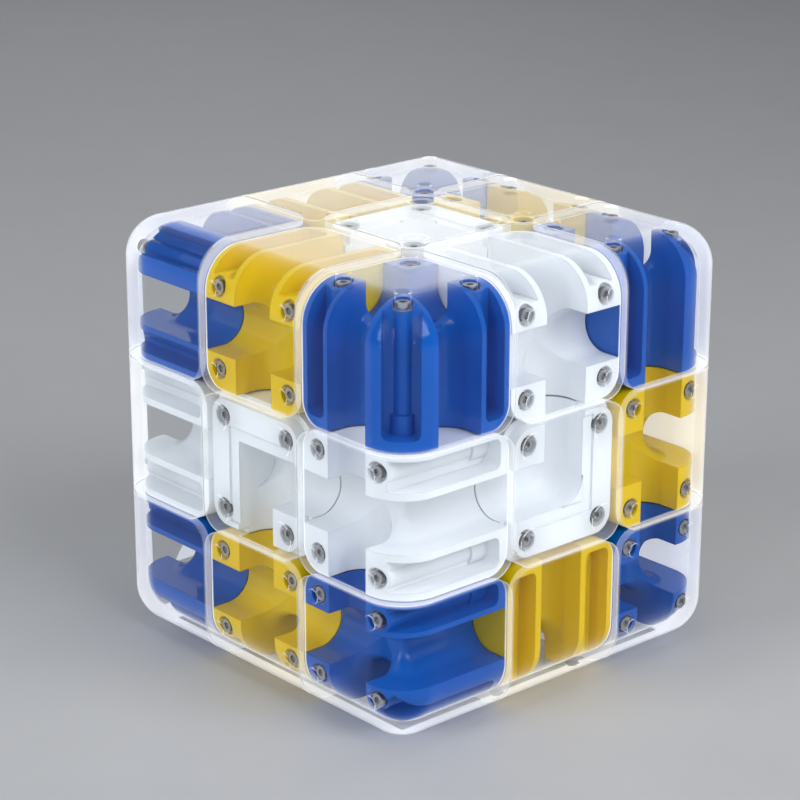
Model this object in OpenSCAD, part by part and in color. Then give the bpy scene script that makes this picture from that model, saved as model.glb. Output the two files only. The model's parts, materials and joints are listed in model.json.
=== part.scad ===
// Twisting cube whose 26 blocks carry an open ball track under clear covers.
// Origin at the centre of the cube, +Z up, front towards -Y. Millimetres.

/* [Cube] */
// Half of the cube's side, over the clear covers
cube_half = 42; // [40:0.5:44]
// Rounding of the cube's outer edges
edge_round = 8.1; // [7:0.1:9]
// Distance from the centre to the seam between two layers
seam = 14; // [13.5:0.1:14.5]
// Rounding of each block where four blocks meet
block_round = 4.5; // [3:0.1:5]
// Half of the gap between neighbouring blocks
gap = 0.15; // [0.1:0.05:0.25]

/* [Covers] */
// Thickness of the clear covers on the flat faces
cover_wall = 1.6; // [1.2:0.1:2]
// Play between a cover and the track under it
cover_play = 0.05; // [0.02:0.01:0.1]
// Rounding of the track bodies under the covers
track_round = 8.2; // [7.5:0.1:9]

/* [Ball track] */
// Radius of the round channel floor
channel_r = 5.1; // [4.6:0.1:5.4]
// Depth of the channel below the cover
channel_depth = 9; // [8.6:0.1:9.4]
// Distance from the centre to the channels of the outer rows
outer_row = 26.2; // [25.8:0.1:26.6]
// Radius of the channel floor where it bends over an edge of the cube
bend_floor = 1; // [0.6:0.1:1.4]
// Diameter of the steel ball
ball_d = 8; // [7:0.1:8.2]

/* [Turning mechanism] */
// Radius of the sphere that the feet run in
foot_r = 28; // [27.5:0.1:28.4]
// Inner radius of the feet
foot_in = 20; // [18:0.5:22]
// Distance from the centre to the inner edge of the feet
foot_seam = 10.5; // [10:0.1:11]
// Radius of the ball of the core
core_r = 9.5; // [8.5:0.1:10.5]
// Radius of the six arms of the core
arm_r = 3.5; // [3:0.1:4]
// Length of an arm from the centre
arm_len = 16; // [15:0.1:17]
// Height at which a hub ends and its track plate begins
hub_top = 27.6; // [27:0.1:28]

/* [Screws] */
// Distance of the cover screws from the middle of a centre block
screw_centre = 9.25; // [9:0.05:9.6]
// Distance of the screws from the middle of an edge block, along the edge
screw_along = 10.05; // [9.6:0.05:10.2]
// Distance of the inner screws of edge and corner blocks from the cube's middle plane
screw_in = 18.2; // [18:0.1:18.4]
// Distance of their outer screws from the cube's middle plane
screw_out = 34; // [33.8:0.1:34.2]
// Radius of the screw heads
head_r = 1.3; // [1.2:0.05:1.4]
// Radius of the screw shanks
shank_r = 0.8; // [0.6:0.05:0.9]

/* [Hidden] */
$fn = 64;

// Directions of the six faces
up = [0, 0, 1];
down = [0, 0, -1];
front = [0, -1, 0];
back = [0, 1, 0];
right = [1, 0, 0];
left = [-1, 0, 0];

// Colours of the mouldings
blue = "mediumblue";
yellow = "gold";
white = "white";
clear = [0.9, 0.95, 1, 0.35];
steel = "silver";

// Each block's place: the face with its screws first, then its other outer faces.
// A centre block's second direction is the way its track points first.
top_centre = [up, right];
front_centre = [front, right];
right_centre = [right, front];
back_centre = [back, right];
left_centre = [left, up];
bottom_centre = [down, right];
top_front = [front, up];
top_right = [right, up];
top_back = [up, back];
top_left = [left, up];
front_right = [front, right];
front_left = [left, front];
back_right = [right, back];
back_left = [left, back];
bottom_front = [front, down];
bottom_right = [down, right];
bottom_back = [back, down];
bottom_left = [down, left];
top_front_right = [up, front, right];
top_front_left = [left, up, front];
top_back_right = [up, right, back];
top_back_left = [up, back, left];
bottom_front_right = [front, right, down];
bottom_front_left = [left, front, down];
bottom_back_right = [right, down, back];
bottom_back_left = [back, left, down];

track_half = cube_half - cover_wall;
channel_axis = track_half - channel_depth + channel_r;
bend_centre = track_half - channel_depth - bend_floor;
reach = 2 * cube_half;
eps = 0.02;

// Seats of the cover screws: a boss under the cover sinks into the post below it
boss_r = 1.9;
boss_drop = 1.6;
seat_play = 0.1;
tip_room = 0.3;
head_seat = track_half - 1.2;
head_h = 0.9;
head_hole_r = head_r + 0.15;
shank_hole_r = shank_r + 0.1;
socket_r = 0.75;
socket_depth = 0.5;
screw_len = 8;
centre_screw_len = 13.8;
ring_r = 2.9;
ring_depth = 0.3;

// Play of the ball over the wall it lies on, and how far that spot is turned inwards
ball_play = 0.12;
ball_lean = 20;

// Skirt of a centre cover, which reaches down round its track plate
skirt_w = 1.2;
skirt_h = 2.4;

// Hollows that lighten the posts beside the straight channels
pocket_low = seam + 2.2;
pocket_floor = track_half - 4.4;
pocket_w = 5.8;
pocket_centre = 9.5;
pocket_corner = 1.3;
pocket_side = 17.8;
narrow_pocket_w = 4.4;
wide_pocket_w = 6.9;
wide_pocket_rise = 1;
rib_r = 2.6;
slim_rib_r = 1.85;
collar_rise = 0.5;
collar_h = 3.6;

// Shelf outside the bend of a centre track
shelf_w = 2.5;
shelf_depth = 0.4;
shelf_end = 11.5;

// Spindle, spring and washer of each centre
hub_sleeve_r = 5.6;
hub_sleeve_low = 11;
hub_floor = 2;
spring_cave_r = 3.7;
spindle_r = 1.5;
spindle_low = 7.5;
spindle_head_r = 2.9;
spindle_head_h = 1.8;
washer_top = 24.2;
washer_h = 0.6;
washer_r = 3.3;
wire_r = 0.3;
coil_r = 2.6;
coil_turns = 4;
coil_steps = 12;
coil_sides = 5;

// Third direction of a right-handed frame, so that a corner fits its three faces
function corner_second(place) = cross(place[1], place[0]) == place[2] ? place[1] : place[2];

// Carries the local frame (+Z to face_z, +Y to face_y) to its place on the cube
module turn_to(face_z, face_y) {
    x = cross(face_y, face_z);
    y = face_y;
    z = face_z;
    multmatrix([[x[0], y[0], z[0], 0], [x[1], y[1], z[1], 0], [x[2], y[2], z[2], 0]])
        children();
}

module at_block(place) turn_to(place[0], place[1]) children();
module at_corner(place) turn_to(place[0], corner_second(place)) children();

// ---------------------------------------------------------------- block outlines

// Outline of an edge block seen on one face: its two inner corners are rounded
module edge_outline() {
    w = seam - gap;
    low = seam + gap;
    translate([-w, low + block_round]) square([2 * w, reach]);
    translate([-w + block_round, low]) square([2 * (w - block_round), reach]);
    for (side = [-1, 1]) translate([side * (w - block_round), low + block_round])
        circle(block_round);
}

// Outline of a corner block seen on one face: its innermost corner is rounded
module corner_outline() {
    low = seam + gap;
    translate([low, low + block_round]) square([reach, reach]);
    translate([low + block_round, low]) square([reach, reach]);
    translate([low + block_round, low + block_round]) circle(block_round);
}

module centre_outline(inset = 0) {
    w = seam - gap - inset;
    r = block_round - inset / 2;
    square([2 * w, 2 * (w - r)], center = true);
    square([2 * (w - r), 2 * w], center = true);
    for (sx = [-1, 1], sy = [-1, 1])
        translate([sx * (w - r), sy * (w - r)]) circle(r);
}

// The edge block lies at +Y +Z, the corner block at +X +Y +Z, the centre block at +Z
module edge_cell() intersection() {
    linear_extrude(reach) edge_outline();
    mirror([0, 1, -1]) linear_extrude(reach) edge_outline();
}

module corner_cell() intersection() {
    linear_extrude(reach) corner_outline();
    mirror([0, 1, -1]) linear_extrude(reach) corner_outline();
    mirror([1, 0, -1]) linear_extrude(reach) corner_outline();
}

// Plain box from a lowest corner, as wide as it needs to be
module box(low, size) translate(low) cube(size);

// Cube with rounded edges, cut down to the stretch that an edge block needs
module edge_skin(half, r) rotate([90, 0, 90]) translate([0, 0, -seam])
    linear_extrude(2 * seam) {
        square([half, half - r]);
        square([half - r, half]);
        translate([half - r, half - r]) circle(r);
    }

// One eighth of a cube with rounded edges and a ball corner
module corner_skin(half, r) {
    flat = half - r;
    cube([half, flat, flat]);
    cube([flat, half, flat]);
    cube([flat, flat, half]);
    translate([flat, flat, 0]) cylinder(r = r, h = flat);
    translate([0, flat, flat]) rotate([0, 90, 0]) cylinder(r = r, h = flat);
    translate([flat, 0, flat]) rotate([-90, 0, 0]) cylinder(r = r, h = flat);
    translate([flat, flat, flat]) sphere(r);
}

module shell_zone(outer) difference() {
    sphere(outer);
    sphere(foot_in);
}

// Whole body of an edge block: outside part, foot and the neck between them
module edge_form() {
    w = foot_seam - gap;
    difference() {
        edge_cell();
        sphere(foot_r + gap);
    }
    intersection() {
        box([-w, foot_seam + gap, foot_seam + gap], [2 * w, reach, reach]);
        shell_zone(foot_r - gap);
    }
    intersection() {
        box([-w, seam + gap, seam + gap], [2 * w, reach, reach]);
        shell_zone(foot_r + 2 * gap);
    }
}

module corner_form() {
    difference() {
        corner_cell();
        sphere(foot_r + gap);
    }
    intersection() {
        translate((foot_seam + gap) * [1, 1, 1]) cube(reach);
        shell_zone(foot_r - gap);
    }
    intersection() {
        translate((seam + gap) * [1, 1, 1]) cube(reach);
        shell_zone(foot_r + 2 * gap);
    }
}

// ---------------------------------------------------------------- ball channels

// Section of a channel: round floor and straight walls up through the cover side
module channel_section() {
    circle(channel_r);
    translate([-channel_r, 0]) square([2 * channel_r, 4 * channel_r]);
}

// Channel on the +Z face along X, at a distance y from the middle
module channel_x(x0, x1, y) translate([x0, y, channel_axis]) rotate([90, 0, 90])
    linear_extrude(x1 - x0) channel_section();

// Channel on the +Z face along Y, at a distance x from the middle
module channel_y(y0, y1, x) translate([x, y1, channel_axis]) rotate([90, 0, 0])
    linear_extrude(y1 - y0) channel_section();

// Channel that comes over the +Y +Z edge of the cube and runs down the +Y face
module channel_over(x) {
    channel_y(seam - 1, bend_centre, x);
    translate([x, channel_axis, seam - 1]) linear_extrude(bend_centre - seam + 1)
        channel_section();
    translate([x, bend_centre, bend_centre]) rotate([90, 0, 90]) rotate_extrude(angle = 90)
        translate([channel_axis - bend_centre, 0]) rotate(-90) channel_section();
}

// ---------------------------------------------------------------- screw seats

module edge_screw_places() for (x = [-1, 1] * screw_along, y = [screw_in, screw_out])
    translate([x, y, 0]) children();

module corner_screw_places() for (x = [screw_in, screw_out], y = [screw_in, screw_out])
    translate([x, y, 0]) children();

module centre_screw_places() for (x = [-1, 1] * screw_centre, y = [-1, 1] * screw_centre)
    translate([x, y, 0]) children();

// Hole in a post: a seat for the cover's boss and a pilot hole for the shank
module post_hole(depth) {
    translate([0, 0, track_half - boss_drop - seat_play])
        cylinder(r = boss_r + seat_play, h = reach);
    translate([0, 0, head_seat - depth - tip_room]) cylinder(r = shank_hole_r, h = depth + 1);
}

module cover_boss() translate([0, 0, track_half - boss_drop])
    cylinder(r = boss_r, h = boss_drop + cover_wall / 2);

module cover_hole() {
    translate([0, 0, head_seat]) cylinder(r = head_hole_r, h = reach);
    translate([0, 0, head_seat - 2 * boss_drop]) cylinder(r = shank_hole_r, h = reach);
}

module cover_screw(len) {
    difference() {
        translate([0, 0, head_seat]) cylinder(r = head_r, h = head_h);
        translate([0, 0, head_seat + head_h - socket_depth])
            cylinder(r = socket_r, h = 1, $fn = 6);
    }
    translate([0, 0, head_seat - len]) cylinder(r = shank_r, h = len + eps);
}

// ---------------------------------------------------------------- post pockets

// Long hollow in the +Y side of a post at a distance x: it is blind towards the middle of
// the cube and runs out over the rounded edge. A rib over the screw lies along its floor.
module pocket(x, width, floor_y, rib_x, rib_y, rib) difference() {
    w = width / 2;
    low = pocket_low + pocket_corner;
    translate([x, floor_y, 0]) rotate([-90, 0, 0]) linear_extrude(reach) {
        translate([-w, -reach]) square([width, reach - low]);
        translate([-w + pocket_corner, -low - eps])
            square([width - 2 * pocket_corner, pocket_corner + eps]);
        for (side = [-1, 1]) translate([side * (w - pocket_corner), -low]) circle(pocket_corner);
    }
    translate([rib_x, rib_y, 0]) {
        cylinder(r = rib, h = reach);
        translate([0, 0, pocket_low - 1]) cylinder(r = rib + collar_rise, h = collar_h + 1);
    }
}

// ---------------------------------------------------------------- edge blocks

module edge_track_body() difference() {
    intersection() {
        edge_form();
        edge_skin(track_half, track_round);
    }
    for (side = [-1, 1]) pocket(side * pocket_centre, pocket_w, pocket_floor,
        side * screw_along, screw_out, rib_r);
    channel_x(-reach, reach, outer_row);
    channel_over(0);
    edge_screw_places() post_hole(screw_len);
}

module edge_cover_body() difference() {
    union() {
        intersection() {
            edge_cell();
            difference() {
                edge_skin(cube_half, edge_round);
                edge_skin(track_half + cover_play, track_round);
            }
        }
        edge_screw_places() cover_boss();
    }
    edge_screw_places() cover_hole();
}

// ---------------------------------------------------------------- corner blocks

// Pocket in the outer post, facing out along the diagonal
module diagonal_pocket() rotate(-45) pocket(0, wide_pocket_w,
    screw_out * sqrt(2) + wide_pocket_rise, 0, screw_out * sqrt(2), slim_rib_r);

module side_pocket()
    pocket(pocket_side, narrow_pocket_w, pocket_floor, screw_in, screw_out, rib_r);

module corner_track_body() difference() {
    intersection() {
        corner_form();
        corner_skin(track_half, track_round);
    }
    side_pocket();
    mirror([1, -1, 0]) side_pocket();
    diagonal_pocket();
    channel_x(seam - 1, bend_centre, outer_row);
    channel_over(outer_row);
    mirror([1, -1, 0]) channel_over(outer_row);
    corner_screw_places() post_hole(screw_len);
}

module corner_cover_body() difference() {
    union() {
        intersection() {
            corner_cell();
            difference() {
                corner_skin(cube_half, edge_round);
                corner_skin(track_half + cover_play, track_round);
            }
        }
        corner_screw_places() cover_boss();
    }
    corner_screw_places() cover_hole();
}

// ---------------------------------------------------------------- centre blocks

// Track plate of a centre: the channel comes in along +Y and leaves along +X
module centre_plate() difference() {
    union() {
        translate([0, 0, hub_top + cover_play])
            linear_extrude(track_half - skirt_h - hub_top - cover_play) centre_outline();
        translate([0, 0, hub_top + cover_play])
            linear_extrude(track_half - hub_top - cover_play)
                centre_outline(skirt_w + cover_play);
    }
    children();
    centre_screw_places() post_hole(centre_screw_len);
}

module straight_run() channel_y(-reach, reach, 0);

module square_bend() {
    channel_x(-channel_r, reach, 0);
    channel_y(-channel_r, reach, 0);
}

module round_bend() {
    channel_x(0, reach, 0);
    channel_y(0, reach, 0);
    translate([0, 0, channel_axis]) {
        sphere(channel_r);
        cylinder(r = channel_r, h = reach);
    }
}

// Shallow shelf along the outer side of a bend
module shelf() {
    low = -channel_r - shelf_w;
    len = shelf_end - low;
    box([low, low, track_half - shelf_depth], [shelf_w, len, reach]);
    box([low, low, track_half - shelf_depth], [len, shelf_w, reach]);
}

// Cover of a centre: its skirt is open where the channel passes
module centre_cover_body() difference() {
    union() {
        difference() {
            translate([0, 0, track_half - skirt_h + cover_play])
                linear_extrude(skirt_h + cover_wall - cover_play) centre_outline();
            translate([0, 0, track_half - skirt_h - 1])
                linear_extrude(skirt_h + 1 + cover_play) centre_outline(skirt_w);
            intersection() {
                children();
                cylinder(r = reach, h = track_half + cover_play);
            }
        }
        centre_screw_places() cover_boss();
    }
    centre_screw_places() {
        cover_hole();
        translate([0, 0, cube_half - ring_depth]) cylinder(r = ring_r, h = 1);
    }
}

// Hub of a centre: turns on an arm of the core and keeps the edge blocks in
module hub_body() difference() {
    union() {
        intersection() {
            linear_extrude(hub_top) centre_outline();
            difference() {
                cylinder(r = reach, h = hub_top);
                sphere(foot_r + gap);
            }
        }
        intersection() {
            box([-foot_seam + gap, -foot_seam + gap, 0],
                [2 * (foot_seam - gap), 2 * (foot_seam - gap), hub_top]);
            difference() {
                cylinder(r = reach, h = hub_top);
                sphere(foot_in);
            }
            shell_zone(foot_r + 2 * gap);
        }
        translate([0, 0, hub_sleeve_low])
            cylinder(r = hub_sleeve_r, h = foot_in + 1 - hub_sleeve_low);
    }
    translate([0, 0, hub_sleeve_low - 1])
        cylinder(r = arm_r + 2 * gap, h = arm_len + 2 * gap - hub_sleeve_low + 1);
    cylinder(r = spindle_r + 2 * gap, h = reach);
    translate([0, 0, arm_len + 2 * gap + hub_floor]) cylinder(r = spring_cave_r, h = reach);
    centre_screw_places() translate([0, 0, head_seat - centre_screw_len - tip_room])
        cylinder(r = shank_hole_r, h = reach);
}

// ---------------------------------------------------------------- core and spindles

module on_all_arms() for (face = [[up, right], [down, right], [front, up], [back, up],
        [right, up], [left, up]])
    at_block(face) children();

module core_body() difference() {
    union() {
        sphere(core_r);
        on_all_arms() cylinder(r = arm_r, h = arm_len);
    }
    on_all_arms() translate([0, 0, spindle_low - 0.5])
        cylinder(r = spindle_r + 0.05, h = reach);
}

module spindle() {
    translate([0, 0, spindle_low]) cylinder(r = spindle_r, h = washer_top - spindle_low + eps);
    difference() {
        translate([0, 0, washer_top]) cylinder(r = spindle_head_r, h = spindle_head_h);
        translate([0, 0, washer_top + spindle_head_h / 2])
            cylinder(r = spindle_r, h = 2, $fn = 6);
    }
}

module washer() difference() {
    translate([0, 0, washer_top - washer_h]) cylinder(r = washer_r, h = washer_h - eps);
    cylinder(r = spindle_r + 0.15, h = reach);
}

// Point of the coil: step along it and side round the wire
function coil_point(step, side, low, rise) =
    let (a = 360 * step / coil_steps, b = 360 * side / coil_sides, r = coil_r + wire_r * cos(b))
    [r * cos(a), r * sin(a), low + rise * step / coil_steps + wire_r * sin(b)];

module coil_spring() {
    low = arm_len + 2 * gap + hub_floor + wire_r + 0.1;
    rise = (washer_top - washer_h - wire_r - 0.1 - low) / coil_turns;
    steps = coil_turns * coil_steps;
    points = [for (i = [0:steps], j = [0:coil_sides - 1]) coil_point(i, j, low, rise)];
    walls = [for (i = [0:steps - 1], j = [0:coil_sides - 1])
        let (k = (j + 1) % coil_sides, a = i * coil_sides, b = a + coil_sides)
        [a + j, b + j, b + k, a + k]];
    ends = [[for (j = [0:coil_sides - 1]) j],
        [for (j = [coil_sides - 1:-1:0]) steps * coil_sides + j]];
    polyhedron(points, concat(walls, ends));
}

// ---------------------------------------------------------------- blocks in place

module edge_track(place, colour) color(colour) at_block(place) edge_track_body();
module corner_track(place, colour) color(colour) at_corner(place) corner_track_body();
module edge_cover(place) color(clear) at_block(place) edge_cover_body();
module corner_cover(place) color(clear) at_corner(place) corner_cover_body();
module hub(place) color(white) at_block(place) hub_body();

// The track of a centre and its cover are cut by the same channel
module square_centre_track(place) color(white) at_block(place) centre_plate() {
    square_bend();
    shelf();
}

module square_centre_cover(place) color(clear) at_block(place) centre_cover_body() square_bend();

module round_centre_track(place) color(white) at_block(place) centre_plate() {
    round_bend();
    shelf();
}

module round_centre_cover(place) color(clear) at_block(place) centre_cover_body() round_bend();

module top_centre_track() round_centre_track(top_centre);
module front_centre_track() square_centre_track(front_centre);
module right_centre_track() round_centre_track(right_centre);
module left_centre_track() round_centre_track(left_centre);
module bottom_centre_track() square_centre_track(bottom_centre);
module back_centre_track() color(white) at_block(back_centre) centre_plate() straight_run();

module top_front_track() edge_track(top_front, yellow);
module top_right_track() edge_track(top_right, white);
module top_back_track() edge_track(top_back, yellow);
module top_left_track() edge_track(top_left, yellow);
module front_right_track() edge_track(front_right, white);
module front_left_track() edge_track(front_left, white);
module back_right_track() edge_track(back_right, yellow);
module back_left_track() edge_track(back_left, yellow);
module bottom_front_track() edge_track(bottom_front, yellow);
module bottom_right_track() edge_track(bottom_right, yellow);
module bottom_back_track() edge_track(bottom_back, yellow);
module bottom_left_track() edge_track(bottom_left, white);

module top_front_right_track() corner_track(top_front_right, blue);
module top_front_left_track() corner_track(top_front_left, blue);
module top_back_right_track() corner_track(top_back_right, blue);
module top_back_left_track() corner_track(top_back_left, blue);
module bottom_front_right_track() corner_track(bottom_front_right, blue);
module bottom_front_left_track() corner_track(bottom_front_left, blue);
module bottom_back_right_track() corner_track(bottom_back_right, blue);
module bottom_back_left_track() corner_track(bottom_back_left, blue);

module top_centre_cover() round_centre_cover(top_centre);
module top_front_cover() edge_cover(top_front);
module top_right_cover() edge_cover(top_right);
module top_back_cover() edge_cover(top_back);
module top_left_cover() edge_cover(top_left);
module top_front_right_cover() corner_cover(top_front_right);
module top_front_left_cover() corner_cover(top_front_left);
module top_back_right_cover() corner_cover(top_back_right);
module top_back_left_cover() corner_cover(top_back_left);

module side_centre_covers() {
    square_centre_cover(front_centre);
    round_centre_cover(right_centre);
    round_centre_cover(left_centre);
    color(clear) at_block(back_centre) centre_cover_body() straight_run();
}

module front_right_cover() edge_cover(front_right);
module front_left_cover() edge_cover(front_left);
module back_right_cover() edge_cover(back_right);
module back_left_cover() edge_cover(back_left);

module bottom_centre_cover() square_centre_cover(bottom_centre);
module bottom_front_cover() edge_cover(bottom_front);
module bottom_right_cover() edge_cover(bottom_right);
module bottom_back_cover() edge_cover(bottom_back);
module bottom_left_cover() edge_cover(bottom_left);
module bottom_front_right_cover() corner_cover(bottom_front_right);
module bottom_front_left_cover() corner_cover(bottom_front_left);
module bottom_back_right_cover() corner_cover(bottom_back_right);
module bottom_back_left_cover() corner_cover(bottom_back_left);

module top_hub() hub(top_centre);
module side_hubs() for (place = [front_centre, right_centre, back_centre, left_centre]) hub(place);
module bottom_hub() hub(bottom_centre);

module core() color("dimgray") core_body();
module spindle_screws() color(steel) on_all_arms() spindle();
module springs() color(steel) on_all_arms() coil_spring();
module washers() color(steel) on_all_arms() washer();

// All the cover screws of one layer
module layer_screws(centres, edges, corners) color(steel) {
    for (place = centres) at_block(place) centre_screw_places() cover_screw(centre_screw_len);
    for (place = edges) at_block(place) edge_screw_places() cover_screw(screw_len);
    for (place = corners) at_corner(place) corner_screw_places() cover_screw(screw_len);
}

module top_cover_screws() layer_screws([top_centre],
    [top_front, top_right, top_back, top_left],
    [top_front_right, top_front_left, top_back_right, top_back_left]);
module middle_cover_screws() layer_screws([front_centre, right_centre, back_centre, left_centre],
    [front_right, front_left, back_right, back_left], []);
module bottom_cover_screws() layer_screws([bottom_centre],
    [bottom_front, bottom_right, bottom_back, bottom_left],
    [bottom_front_right, bottom_front_left, bottom_back_right, bottom_back_left]);

// The ball lies in the straight track across the back, on its lower wall
module ball() color(steel) {
    off_axis = channel_r - ball_d / 2 - ball_play;
    translate([0, channel_axis - off_axis * sin(ball_lean), -off_axis * cos(ball_lean)])
        sphere(d = ball_d);
}

top_centre_track();
top_front_track();
top_right_track();
top_back_track();
top_left_track();
top_front_right_track();
top_front_left_track();
top_back_right_track();
top_back_left_track();
front_centre_track();
right_centre_track();
back_centre_track();
left_centre_track();
front_right_track();
front_left_track();
back_right_track();
back_left_track();
bottom_centre_track();
bottom_front_track();
bottom_right_track();
bottom_back_track();
bottom_left_track();
bottom_front_right_track();
bottom_front_left_track();
bottom_back_right_track();
bottom_back_left_track();
top_centre_cover();
top_front_cover();
top_right_cover();
top_back_cover();
top_left_cover();
top_front_right_cover();
top_front_left_cover();
top_back_right_cover();
top_back_left_cover();
side_centre_covers();
front_right_cover();
front_left_cover();
back_right_cover();
back_left_cover();
bottom_centre_cover();
bottom_front_cover();
bottom_right_cover();
bottom_back_cover();
bottom_left_cover();
bottom_front_right_cover();
bottom_front_left_cover();
bottom_back_right_cover();
bottom_back_left_cover();
top_hub();
side_hubs();
bottom_hub();
core();
spindle_screws();
springs();
washers();
top_cover_screws();
middle_cover_screws();
bottom_cover_screws();
ball();
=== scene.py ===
"""Twisting cube with a ball track under clear covers: finishes, light and camera round the model."""

import json
import math

import bpy
from mathutils import Matrix, Vector


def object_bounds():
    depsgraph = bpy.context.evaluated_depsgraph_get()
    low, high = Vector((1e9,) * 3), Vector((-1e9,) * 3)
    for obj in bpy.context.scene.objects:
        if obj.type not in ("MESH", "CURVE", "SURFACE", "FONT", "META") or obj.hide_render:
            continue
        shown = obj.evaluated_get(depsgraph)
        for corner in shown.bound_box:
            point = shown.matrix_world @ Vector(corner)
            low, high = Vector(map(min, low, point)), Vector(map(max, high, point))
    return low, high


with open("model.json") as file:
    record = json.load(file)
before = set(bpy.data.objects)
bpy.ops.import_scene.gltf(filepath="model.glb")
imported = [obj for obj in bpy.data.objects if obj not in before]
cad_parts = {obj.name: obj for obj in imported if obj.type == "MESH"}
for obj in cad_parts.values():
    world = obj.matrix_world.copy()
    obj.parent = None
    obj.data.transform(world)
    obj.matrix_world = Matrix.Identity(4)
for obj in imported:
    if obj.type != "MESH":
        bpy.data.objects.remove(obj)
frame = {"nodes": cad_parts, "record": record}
cad_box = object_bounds()

MM = 0.001
low_corner, high_corner = (Vector(corner) for corner in cad_box)
cube_size = (high_corner - low_corner).z
base_height = low_corner.z

# Shape of the blocks, which the finish of the covers follows
LAYERS = 3
SEAM = cube_size / LAYERS / 2  # from the centre to the seam between two layers
BLOCK_ROUND = 4.5 * MM  # rounding of a block where four blocks meet
EDGE_ROUND = 8.1 * MM  # rounding of the outer edges of the cube
EDGE_MIDDLE = cube_size / 2 - EDGE_ROUND  # from the centre to the middle of that rounding
RIM_ROLL = 0.7 * MM  # width of the rolled rim of a cover
SKIN = 0.1 * MM  # how near the outside a point of the rounding lies to count as its skin

# Acrylic of the covers
ACRYLIC_IOR = 1.49
TOTAL_REFLECTION = 0.6  # share of light held in, above which the eye looks along the wall
PAINTED_MILK_GLOW = 0.48  # painted glow that the milky parts of the acrylic give off along its rims and walls, though they are no lamp
SLANT_POWER = 6.0  # how fast a slanted wall turns milky and mirror-like
# shares of milk below, which bring the painted glow with them
SLANT_MILK_AND_GLOW = 0.9
RIM_POWER = 3.0
RIM_MILK_AND_GLOW = 0.35
WALL_MILK_AND_GLOW = 0.9
SCUFF_MILK_AND_GLOW = 0.004
LEAST_GLOSS = 0.004

# Lamps: azimuth and elevation in degrees, distance and size in metres, power in watts, colour
NEUTRAL = (1.0, 1.0, 1.0)
LAMPS = {
    "key_softbox": (100.0, 38.0, 0.8, (0.5, 0.5), 3.2, NEUTRAL),
    "front_softbox": (-8.0, 28.0, 0.9, (0.35, 0.6), 2.6, (0.95, 0.98, 1.0)),
    "left_strip": (24.0, 12.0, 0.9, (0.03, 0.7), 1.3, NEUTRAL),
    "right_strip": (74.0, 12.0, 0.9, (0.03, 0.7), 1.3, NEUTRAL),
    "top_softbox": (40.0, 88.0, 0.8, (0.6, 0.6), 1.1, NEUTRAL),
    "back_softbox": (242.0, 21.0, 0.8, (0.45, 0.35), 0.28, NEUTRAL),
}
SKY_COLOUR = (0.86, 0.90, 0.96, 1.0)
SKY_STRENGTH = 0.13
FLOOR_WIDTHS = 40  # width of the floor in cubes

# Camera, in degrees, metres and millimetres of lens
CAMERA_AZIMUTH = 48.37
CAMERA_ELEVATION = 19.15
CAMERA_DISTANCE = 0.5112
CAMERA_ASIDE = -0.0033
CAMERA_RAISED = 0.0051
CAMERA_ROLL = 0.1
LENS = 117.9
SENSOR_WIDTH = 36.0
CLEAR_BOUNCES = 24  # so that light gets through all the covers that lie behind each other


# ------------------------------------------------------------------ shader nodes


class Wire:
    """A shader socket that can stand in Python sums."""

    def __init__(self, finish, socket):
        self.finish = finish
        self.socket = socket

    def maths(self, operation, first, second=0.0):
        if self.socket.type == "VECTOR":
            settings = {"operation": operation}
            sockets = {0: as_vector(first), 1: as_vector(second)}
            output = "Value" if operation == "LENGTH" else "Vector"
            return self.finish.node("ShaderNodeVectorMath", settings, sockets, output)
        return self.finish.node("ShaderNodeMath", {"operation": operation}, {0: first, 1: second})

    def __add__(self, other):
        return self.maths("ADD", self, other)

    __radd__ = __add__

    def __sub__(self, other):
        return self.maths("SUBTRACT", self, other)

    def __rsub__(self, other):
        return self.maths("SUBTRACT", other, self)

    def __mul__(self, other):
        return self.maths("MULTIPLY", self, other)

    __rmul__ = __mul__

    def __pow__(self, other):
        return self.maths("POWER", self, other)

    def __abs__(self):
        return self.maths("ABSOLUTE", self)

    def at_least(self, least):
        return self.maths("MAXIMUM", self, least)

    def at_most(self, most):
        return self.maths("MINIMUM", self, most)

    def above(self, threshold):
        return self.maths("GREATER_THAN", self, threshold)

    def length(self):
        return self.maths("LENGTH", self)


def as_vector(value):
    return value if isinstance(value, Wire) else (value, value, value)


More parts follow.
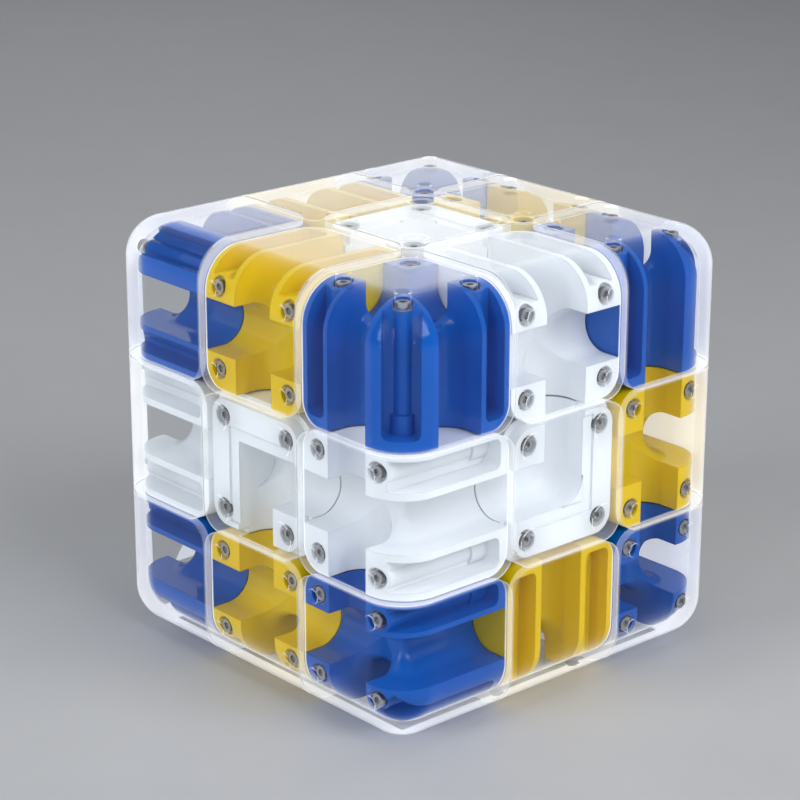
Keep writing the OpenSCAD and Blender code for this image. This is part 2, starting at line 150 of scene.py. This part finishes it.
class Finish:
    """A material under construction: every node is added by one method."""

    def __init__(self, name):
        self.material = bpy.data.materials.new(name)
        self.material.use_nodes = True
        self.tree = self.material.node_tree
        self.tree.nodes.clear()

    def node(self, kind, settings=None, sockets=None, output=0):
        made = self.tree.nodes.new(kind)
        for name, value in (settings or {}).items():
            setattr(made, name, value)
        for name, value in (sockets or {}).items():
            if isinstance(value, Wire):
                self.tree.links.new(value.socket, made.inputs[name])
            else:
                made.inputs[name].default_value = value
        return Wire(self, made.outputs[output]) if made.outputs else made

    def place(self):
        """Position on the cube, in metres."""
        return self.node("ShaderNodeTexCoord", output="Object")

    def noise(self, scale, detail=2.0, roughness=0.5):
        return self.node(
            "ShaderNodeTexNoise",
            sockets={"Vector": self.place(), "Scale": scale, "Detail": detail, "Roughness": roughness},
        )

    def rim_distance(self):
        """Distance in from the outline of a block, whose corners are rounded where four blocks meet."""
        to_seam = abs(abs(self.place()) - SEAM)
        return BLOCK_ROUND - (BLOCK_ROUND - to_seam).at_least(0.0).length()

    def soft_edge(self, radius):
        """Normal that rolls over sharp edges, as a moulded edge does."""
        return self.node("ShaderNodeBevel", {"samples": 3}, {"Radius": radius})

    def bump(self, height, distance, strength, normal=None):
        sockets = {"Height": height, "Distance": distance, "Strength": strength}
        if normal is not None:
            sockets["Normal"] = normal
        return self.node("ShaderNodeBump", sockets=sockets)

    def blend(self, factor, first, second):
        """Mix of two colours, which this node takes in at sockets 6 and 7 and gives out at 2."""
        return self.node(
            "ShaderNodeMix",
            {"data_type": "RGBA"},
            {0: factor, 6: first, 7: second},
            output=2,
        )

    def done(self, shader):
        self.node("ShaderNodeOutputMaterial", sockets={"Surface": shader})
        return self.material


# ------------------------------------------------------------------ finishes


def moulded_plastic(name, colour, deep_colour, roughness):
    """Glossy moulding: faint flow marks in the colour, a soft orange-peel surface, rolled edges."""
    finish = Finish(name)
    flow = finish.noise(scale=45.0, detail=3.0)
    peel = finish.noise(scale=350.0, detail=1.0)
    haze = finish.noise(scale=160.0, detail=2.0)
    normal = finish.bump(peel, 0.02 * MM, 0.3, finish.soft_edge(0.35 * MM))
    shader = finish.node(
        "ShaderNodeBsdfPrincipled",
        sockets={
            "Base Color": finish.blend(flow, deep_colour, colour),
            "Roughness": haze * 0.12 + roughness,
            "IOR": 1.5,
            "Specular IOR Level": 0.22,
            "Coat Weight": 0.15,
            "Coat Roughness": 0.03,
            "Normal": normal,
        },
    )
    return finish.done(shader)


def clear_acrylic():
    """Clear cover: lets the track through, mirrors the room at a slant, turns milky along its rims
    and where the eye looks along its wall, and the milky parts glow with painted light."""
    finish = Finish("clear_acrylic")
    rim = 1.0 - (finish.rim_distance() * (1.0 / RIM_ROLL)).at_least(0.0).at_most(1.0)
    scuffs = finish.noise(scale=300.0, detail=3.0, roughness=0.7)
    roll = finish.bump(rim * rim * -1.0, RIM_ROLL, 0.7)
    slant = finish.node("ShaderNodeLayerWeight", sockets={"Blend": 0.5, "Normal": roll}, output="Facing")
    inward = finish.node("ShaderNodeFresnel", sockets={"IOR": ACRYLIC_IOR}).above(TOTAL_REFLECTION)
    shadow = finish.node("ShaderNodeLightPath", output="Is Shadow Ray")
    depth = (abs(finish.place()) - EDGE_MIDDLE).at_least(0.0).length()
    wall = inward * depth.above(EDGE_ROUND - SKIN) * (1.0 - shadow)
    gloss = finish.node(
        "ShaderNodeBsdfPrincipled",
        sockets={
            "Base Color": (0.97, 0.98, 1.0, 1.0),
            "Roughness": scuffs * 0.06,
            "Metallic": 1.0,
            "Normal": roll,
        },
    )
    # milky acrylic lit by the lamps, with a painted glow in its emission
    milk_with_painted_glow = finish.node(
        "ShaderNodeBsdfPrincipled",
        sockets={
            "Base Color": (0.95, 0.96, 0.97, 1.0),
            "Roughness": 0.3,
            "IOR": ACRYLIC_IOR,
            "Emission Color": (1.0, 1.0, 0.98, 1.0),
            "Emission Strength": PAINTED_MILK_GLOW,
        },
    )
    clear = finish.node("ShaderNodeBsdfTransparent", sockets={"Color": (0.99, 0.995, 1.0, 1.0)})
    steep = slant**SLANT_POWER
    # share of milk, and with it of painted glow
    milk_and_glow_share = steep * SLANT_MILK_AND_GLOW + rim**RIM_POWER * RIM_MILK_AND_GLOW + scuffs * SCUFF_MILK_AND_GLOW + wall * WALL_MILK_AND_GLOW
    milk_and_glow_share = milk_and_glow_share.at_most(1.0)
    body = finish.node("ShaderNodeMixShader", sockets={0: milk_and_glow_share, 1: clear, 2: milk_with_painted_glow})
    shader = finish.node("ShaderNodeMixShader", sockets={0: steep + LEAST_GLOSS, 1: body, 2: gloss})
    return finish.done(shader)


def darker(colour, share):
    return tuple(share * part for part in colour[:3]) + (1.0,)


def plated_steel(name, colour, roughness):
    """Plated steel: fine turning marks and small stains."""
    finish = Finish(name)
    marks = finish.noise(scale=1400.0, detail=2.0)
    stains = finish.noise(scale=260.0, detail=4.0)
    shader = finish.node(
        "ShaderNodeBsdfPrincipled",
        sockets={
            "Base Color": finish.blend(stains, darker(colour, 0.75), colour),
            "Metallic": 1.0,
            "Roughness": stains * 0.15 + roughness,
            "Normal": finish.bump(marks, 0.01 * MM, 0.4, finish.soft_edge(0.12 * MM)),
        },
    )
    return finish.done(shader)


def satin_plastic(name, colour):
    """Satin inner mouldings: a fine spark-eroded grain."""
    finish = Finish(name)
    grain = finish.noise(scale=2200.0, detail=2.0)
    haze = finish.noise(scale=120.0, detail=3.0)
    shader = finish.node(
        "ShaderNodeBsdfPrincipled",
        sockets={
            "Base Color": finish.blend(haze, darker(colour, 0.85), colour),
            "Roughness": haze * 0.15 + 0.38,
            "Normal": finish.bump(grain, 0.03 * MM, 0.5, finish.soft_edge(0.3 * MM)),
        },
    )
    return finish.done(shader)


def make_finishes():
    return {
        "clear_cover": clear_acrylic(),
        "blue_track": moulded_plastic(
            "blue_moulding", (0.0, 0.115, 0.50, 1.0), (0.0, 0.070, 0.38, 1.0), 0.06
        ),
        "yellow_track": moulded_plastic(
            "yellow_moulding", (0.76, 0.55, 0.0, 1.0), (0.67, 0.46, 0.0, 1.0), 0.12
        ),
        "white_track": moulded_plastic(
            "white_moulding", (0.80, 0.83, 0.86, 1.0), (0.74, 0.77, 0.81, 1.0), 0.16
        ),
        "hub_plastic": satin_plastic("hub_plastic", (0.62, 0.64, 0.66, 1.0)),
        "core_plastic": satin_plastic("core_plastic", (0.03, 0.03, 0.034, 1.0)),
        "spindle_steel": plated_steel("zinc_plate", (0.60, 0.61, 0.62, 1.0), 0.28),
        "screw_steel": plated_steel("nickel_plate", (0.42, 0.42, 0.43, 1.0), 0.25),
        "ball_steel": plated_steel("polished_steel", (0.80, 0.81, 0.83, 1.0), 0.04),
    }


def dress_nodes(finishes):
    """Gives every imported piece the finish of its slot."""
    slots = {part["node"]: part["material_slot"] for part in frame["record"]["subparts"]}
    for name, piece in frame["nodes"].items():
        piece.data.materials.clear()
        piece.data.materials.append(finishes[slots[name]])


# ------------------------------------------------------------------ room and camera


def make_floor():
    """Plain pale floor under the cube."""
    half = FLOOR_WIDTHS * cube_size / 2
    mesh = bpy.data.meshes.new("floor")
    outline = ((-half, -half), (half, -half), (half, half), (-half, half))
    mesh.from_pydata([(x, y, base_height) for x, y in outline], [], [(0, 1, 2, 3)])
    floor = bpy.data.objects.new("floor", mesh)
    bpy.context.scene.collection.objects.link(floor)
    finish = Finish("pale_floor")
    grain = finish.noise(scale=60.0, detail=4.0)
    shader = finish.node(
        "ShaderNodeBsdfPrincipled",
        sockets={
            "Base Color": finish.blend(grain, (0.56, 0.57, 0.59, 1.0), (0.60, 0.61, 0.63, 1.0)),
            "Roughness": grain * 0.1 + 0.5,
        },
    )
    mesh.materials.append(finish.done(shader))


def softbox(name, azimuth, elevation, distance, size, power, colour):
    """Rectangular lamp that looks at the cube from a direction given in degrees."""
    lamp = bpy.data.lights.new(name, "AREA")
    lamp.shape = "RECTANGLE"
    lamp.size, lamp.size_y = size
    lamp.energy = power
    lamp.color = colour
    holder = bpy.data.objects.new(name, lamp)
    bpy.context.scene.collection.objects.link(holder)
    holder.matrix_world = looking_in(azimuth, elevation, distance)


def looking_in(azimuth, elevation, distance, aside=0.0, raised=0.0, roll=0.0):
    """Matrix of something that looks past the cube's centre: azimuth 0 is in front, 90 on the right."""
    a, e = math.radians(azimuth), math.radians(elevation)
    back = Vector((math.sin(a) * math.cos(e), -math.cos(a) * math.cos(e), math.sin(e)))
    side = Vector((0.0, 0.0, 1.0)).cross(back).normalized()
    rise = back.cross(side)
    turn = Matrix.Rotation(math.radians(roll), 3, back)
    side, rise = turn @ side, turn @ rise
    place = back * distance + side * aside + rise * raised
    rows = [[side[i], rise[i], back[i], place[i]] for i in range(3)]
    return Matrix(rows + [[0.0, 0.0, 0.0, 1.0]])


def make_light():
    """Soft studio: a pale sky and lamps all round."""
    world = bpy.data.worlds.new("studio")
    bpy.context.scene.world = world
    world.use_nodes = True
    sky = world.node_tree.nodes["Background"]
    sky.inputs["Color"].default_value = SKY_COLOUR
    sky.inputs["Strength"].default_value = SKY_STRENGTH
    for name, settings in LAMPS.items():
        softbox(name, *settings)


def make_camera():
    camera = bpy.data.cameras.new("camera")
    camera.sensor_width = SENSOR_WIDTH
    camera.lens = LENS
    camera.clip_start = 10 * MM
    holder = bpy.data.objects.new("camera", camera)
    bpy.context.scene.collection.objects.link(holder)
    holder.matrix_world = looking_in(
        CAMERA_AZIMUTH, CAMERA_ELEVATION, CAMERA_DISTANCE, CAMERA_ASIDE, CAMERA_RAISED, CAMERA_ROLL
    )
    bpy.context.scene.camera = holder


scene = bpy.context.scene
scene.view_settings.view_transform = "Standard"
scene.cycles.transparent_max_bounces = CLEAR_BOUNCES
make_camera()
dress_nodes(make_finishes())
make_floor()
make_light()
